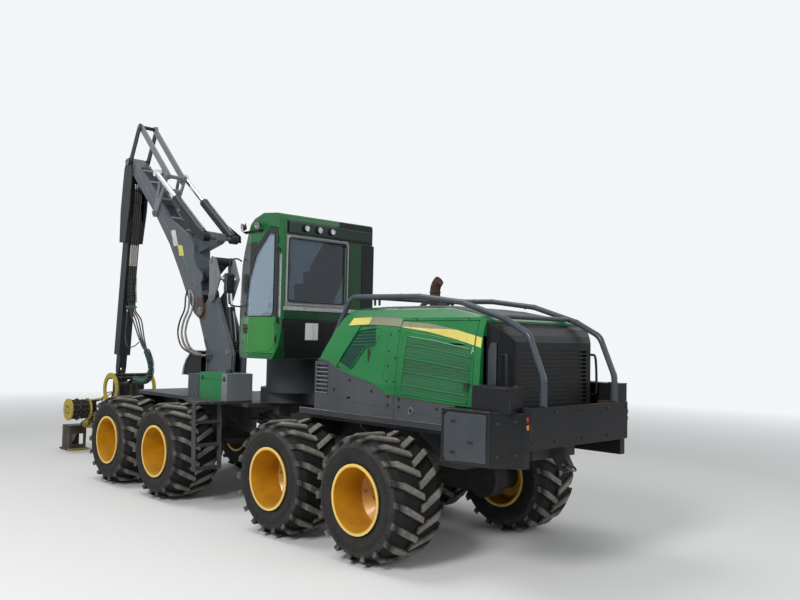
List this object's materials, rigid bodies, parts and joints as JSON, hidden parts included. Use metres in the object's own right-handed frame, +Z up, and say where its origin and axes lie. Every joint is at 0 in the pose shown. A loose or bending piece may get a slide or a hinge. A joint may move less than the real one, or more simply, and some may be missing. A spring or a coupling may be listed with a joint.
{
  "type": "forestry harvester",
  "caption": "Articulated wheeled forestry harvester with a turning cab, a parallel crane with a telescopic jib, and a harvester head.",
  "frame": {"origin": "on the ground under the middle of the whole machine's box", "axes": "+X forward to the harvester head, +Y to the machine's left, +Z up"},
  "size_m": [11.4093, 2.952, 6.099],
  "materials": {
    "frame_grey": "satin",
    "dark_steel": "satin",
    "hood_green": "gloss",
    "black_plastic": "matte",
    "cover_grey": "satin",
    "rust_steel": "rusty",
    "rod_chrome": "polished",
    "cab_green": "gloss",
    "cab_glass": "clear",
    "seat_fabric": "woven",
    "crane_grey": "satin",
    "head_yellow": "worn",
    "worn_steel": "worn",
    "bar_steel": "brushed",
    "tyre_rubber": "matte",
    "rim_yellow": "gloss"
  },
  "bodies": {
    "rear_chassis": {"rear_frame": "frame_grey", "rear_bogies": "frame_grey", "engine_block": "dark_steel", "hood": "hood_green", "tail_cowl": "black_plastic", "side_covers": "cover_grey", "guard_rails": "frame_grey", "tail_boxes": "frame_grey", "exhaust": "rust_steel"},
    "hood_door_left": {"hood_door_left": "hood_green"},
    "hood_door_right": {"hood_door_right": "hood_green"},
    "front_chassis": {"front_frame": "frame_grey", "front_bogies": "frame_grey", "side_boxes": "hood_green", "platform": "frame_grey"},
    "steer_barrel_left": {"steer_barrel_left": "dark_steel"},
    "steer_barrel_right": {"steer_barrel_right": "dark_steel"},
    "steer_rod_left": {"steer_rod_left": "rod_chrome"},
    "steer_rod_right": {"steer_rod_right": "rod_chrome"},
    "cab": {"cab_shell": "cab_green", "cab_glass": "cab_glass", "cab_seat": "seat_fabric"},
    "cab_door": {"cab_door": "cab_green", "door_glass": "cab_glass"},
    "crane_column": {"crane_column": "crane_grey"},
    "lift_barrel": {"lift_barrel": "dark_steel"},
    "lift_rod": {"lift_rod": "rod_chrome"},
    "link_plates": {"link_plates": "crane_grey"},
    "coupler": {"coupler": "dark_steel"},
    "main_boom": {"main_boom": "crane_grey"},
    "luff_barrels": {"luff_barrels": "dark_steel"},
    "luff_rods": {"luff_rods": "rod_chrome"},
    "rocker": {"rocker": "crane_grey"},
    "tie_links": {"tie_links": "crane_grey"},
    "jib": {"jib": "dark_steel"},
    "jib_extension": {"jib_extension": "dark_steel"},
    "hanger": {"hanger": "dark_steel"},
    "head_mount": {"head_mount": "dark_steel"},
    "head": {"head_frame": "head_yellow"},
    "feed_arm_left": {"feed_arm_left": "worn_steel"},
    "feed_arm_right": {"feed_arm_right": "worn_steel"},
    "knives_left": {"knives_left": "worn_steel"},
    "knives_right": {"knives_right": "worn_steel"},
    "saw_bar": {"saw_bar": "bar_steel"},
    "wheel_left_1": {"tyre_left_1": "tyre_rubber", "rim_left_1": "rim_yellow"},
    "wheel_left_2": {"tyre_left_2": "tyre_rubber", "rim_left_2": "rim_yellow"},
    "wheel_left_3": {"tyre_left_3": "tyre_rubber", "rim_left_3": "rim_yellow"},
    "wheel_left_4": {"tyre_left_4": "tyre_rubber", "rim_left_4": "rim_yellow"},
    "wheel_right_1": {"tyre_right_1": "tyre_rubber", "rim_right_1": "rim_yellow"},
    "wheel_right_2": {"tyre_right_2": "tyre_rubber", "rim_right_2": "rim_yellow"},
    "wheel_right_3": {"tyre_right_3": "tyre_rubber", "rim_right_3": "rim_yellow"},
    "wheel_right_4": {"tyre_right_4": "tyre_rubber", "rim_right_4": "rim_yellow"}
  },
  "joints": [
    {"name": "frame_steer", "type": "hinge", "parent": "rear_chassis", "child": "front_chassis", "pos_m": [-1.16966, 0, 1], "axis": [0, 0, 1], "range_deg": [-40, 40]},
    {"name": "wheel_left_1_spin", "type": "hinge", "parent": "front_chassis", "child": "wheel_left_1", "pos_m": [1.68534, 1.128, 0.65], "axis": [0, 1, 0], "continuous": true},
    {"name": "wheel_left_2_spin", "type": "hinge", "parent": "front_chassis", "child": "wheel_left_2", "pos_m": [0.18534, 1.128, 0.65], "axis": [0, 1, 0], "continuous": true},
    {"name": "wheel_left_3_spin", "type": "hinge", "parent": "rear_chassis", "child": "wheel_left_3", "pos_m": [-2.52466, 1.128, 0.65], "axis": [0, 1, 0], "continuous": true},
    {"name": "wheel_left_4_spin", "type": "hinge", "parent": "rear_chassis", "child": "wheel_left_4", "pos_m": [-4.02466, 1.128, 0.65], "axis": [0, 1, 0], "continuous": true},
    {"name": "wheel_right_1_spin", "type": "hinge", "parent": "front_chassis", "child": "wheel_right_1", "pos_m": [1.68534, -1.128, 0.65], "axis": [0, 1, 0], "continuous": true},
    {"name": "wheel_right_2_spin", "type": "hinge", "parent": "front_chassis", "child": "wheel_right_2", "pos_m": [0.18534, -1.128, 0.65], "axis": [0, 1, 0], "continuous": true},
    {"name": "wheel_right_3_spin", "type": "hinge", "parent": "rear_chassis", "child": "wheel_right_3", "pos_m": [-2.52466, -1.128, 0.65], "axis": [0, 1, 0], "continuous": true},
    {"name": "wheel_right_4_spin", "type": "hinge", "parent": "rear_chassis", "child": "wheel_right_4", "pos_m": [-4.02466, -1.128, 0.65], "axis": [0, 1, 0], "continuous": true},
    {"name": "steer_barrel_left_swing", "type": "hinge", "parent": "rear_chassis", "child": "steer_barrel_left", "pos_m": [-2.06966, 0.44, 1.03], "axis": [0, 0, 1], "range_deg": [-12.4, 12.4]},
    {"name": "steer_rod_left_slide", "type": "slide", "parent": "steer_barrel_left", "child": "steer_rod_left", "axis": [0.9995, -0.0303, 0], "range_m": [-0.288, 0.288]},
    {"name": "steer_barrel_right_swing", "type": "hinge", "parent": "rear_chassis", "child": "steer_barrel_right", "pos_m": [-2.06966, -0.44, 1.03], "axis": [0, 0, 1], "range_deg": [-12.4, 12.4]},
    {"name": "steer_rod_right_slide", "type": "slide", "parent": "steer_barrel_right", "child": "steer_rod_right", "axis": [0.9995, 0.0303, 0], "range_m": [-0.288, 0.288]},
    {"name": "hood_door_left_swing", "type": "hinge", "parent": "rear_chassis", "child": "hood_door_left", "pos_m": [-4.50466, 0.776, 2.454], "axis": [1, 0, 0], "range_deg": [0, 80]},
    {"name": "hood_door_right_swing", "type": "hinge", "parent": "rear_chassis", "child": "hood_door_right", "pos_m": [-4.50466, -0.776, 2.454], "axis": [-1, 0, 0], "range_deg": [0, 80]},
    {"name": "cab_turn", "type": "hinge", "parent": "front_chassis", "child": "cab", "pos_m": [-1.06966, 0, 1.96], "axis": [0, 0, -1], "range_deg": [-80, 80]},
    {"name": "cab_door_swing", "type": "hinge", "parent": "cab", "child": "cab_door", "pos_m": [-1.65766, 0.804, 2.48], "axis": [0, 0, 1], "range_deg": [0, 75]},
    {"name": "crane_slew", "type": "hinge", "parent": "front_chassis", "child": "crane_column", "pos_m": [0.78034, 0, 1.56], "axis": [0, 0, -1], "range_deg": [-110, 110]},
    {"name": "boom_lift", "type": "hinge", "parent": "crane_column", "child": "main_boom", "pos_m": [1.36034, 0, 2.63], "axis": [0, -1, 0], "range_deg": [-45, 18]},
    {"name": "link_plates_swing", "type": "hinge", "parent": "crane_column", "child": "link_plates", "pos_m": [0.97034, 0, 2.87], "axis": [0, -1, 0], "range_deg": [-45, 18]},
    {"name": "coupler_swing", "type": "hinge", "parent": "link_plates", "child": "coupler", "pos_m": [0.99034, 0, 3.42], "axis": [0, -1, 0], "range_deg": [-18, 45]},
    {"name": "lift_barrel_swing", "type": "hinge", "parent": "crane_column", "child": "lift_barrel", "pos_m": [0.55034, 0, 2], "axis": [0, -1, 0], "range_deg": [-10.3, 4.4]},
    {"name": "lift_rod_slide", "type": "slide", "parent": "lift_barrel", "child": "lift_rod", "axis": [0.2142, 0, 0.9768], "range_m": [-0.058, 0.137]},
    {"name": "jib_swing", "type": "hinge", "parent": "main_boom", "child": "jib", "pos_m": [4.07298, 0, 5.43902], "axis": [0, 1, 0], "range_deg": [-60, 15]},
    {"name": "rocker_swing", "type": "hinge", "parent": "main_boom", "child": "rocker", "pos_m": [2.96034, 0, 4.38], "axis": [0, 1, 0], "range_deg": [-60, 15]},
    {"name": "tie_links_swing", "type": "hinge", "parent": "rocker", "child": "tie_links", "pos_m": [2.58034, 0, 4.98], "axis": [0, 1, 0], "range_deg": [-15, 60]},
    {"name": "luff_barrels_swing", "type": "hinge", "parent": "main_boom", "child": "luff_barrels", "pos_m": [1.08034, 0, 3.8], "axis": [0, 1, 0], "range_deg": [-1, 2.4]},
    {"name": "luff_rods_slide", "type": "slide", "parent": "luff_barrels", "child": "luff_rods", "axis": [0.8033, 0, 0.5956], "range_m": [-0.699, 0.178]},
    {"name": "jib_extend", "type": "slide", "parent": "jib", "child": "jib_extension", "axis": [0.0958, 0, -0.9954], "range_m": [0, 1.6]},
    {"name": "hanger_swing", "type": "hinge", "parent": "jib_extension", "child": "hanger", "pos_m": [4.44965, 0, 1.52711], "axis": [0, -1, 0], "range_deg": [-50, 50]},
    {"name": "rotator_turn", "type": "hinge", "parent": "hanger", "child": "head_mount", "pos_m": [4.44965, 0, 1.1], "axis": [0, 0, 1], "continuous": true},
    {"name": "head_tilt", "type": "hinge", "parent": "head_mount", "child": "head", "pos_m": [4.02965, 0, 0.80012], "axis": [0, 1, 0], "range_deg": [0, 90]},
    {"name": "feed_arm_left_swing", "type": "hinge", "parent": "head", "child": "feed_arm_left", "pos_m": [4.92965, 0.285, 0.63011], "axis": [1, 0, 0], "range_deg": [-75, 0]},
    {"name": "feed_arm_right_swing", "type": "hinge", "parent": "head", "child": "feed_arm_right", "pos_m": [4.92965, -0.285, 0.63011], "axis": [-1, 0, 0], "range_deg": [-75, 0]},
    {"name": "knives_left_swing", "type": "hinge", "parent": "head", "child": "knives_left", "pos_m": [3.85965, 0.25, 0.60011], "axis": [1, 0, 0], "range_deg": [0, 40]},
    {"name": "knives_right_swing", "type": "hinge", "parent": "head", "child": "knives_right", "pos_m": [3.85965, -0.25, 0.60011], "axis": [-1, 0, 0], "range_deg": [0, 40]},
    {"name": "saw_swing", "type": "hinge", "parent": "head", "child": "saw_bar", "pos_m": [5.50965, 0.33, 0.38011], "axis": [1, 0, 0], "range_deg": [-110, 0]}
  ],
  "couplings": [
    {"joint": "steer_barrel_left_swing", "follows": "frame_steer", "ratio": 0.29807},
    {"joint": "steer_rod_left_slide", "follows": "frame_steer", "m_per_rad": -0.40479},
    {"joint": "steer_barrel_right_swing", "follows": "frame_steer", "ratio": 0.29807},
    {"joint": "steer_rod_right_slide", "follows": "frame_steer", "m_per_rad": 0.40479},
    {"joint": "link_plates_swing", "follows": "boom_lift", "ratio": 1},
    {"joint": "coupler_swing", "follows": "boom_lift", "ratio": -1},
    {"joint": "lift_barrel_swing", "follows": "boom_lift", "ratio": 0.21807},
    {"joint": "lift_rod_slide", "follows": "boom_lift", "m_per_rad": -0.1682},
    {"joint": "rocker_swing", "follows": "jib_swing", "ratio": 1},
    {"joint": "tie_links_swing", "follows": "jib_swing", "ratio": -1},
    {"joint": "luff_barrels_swing", "follows": "jib_swing", "ratio": -0.03242},
    {"joint": "luff_rods_slide", "follows": "jib_swing", "m_per_rad": 0.66234},
    {"joint": "feed_arm_right_swing", "follows": "feed_arm_left_swing", "ratio": 1},
    {"joint": "knives_right_swing", "follows": "knives_left_swing", "ratio": 1}
  ]
}
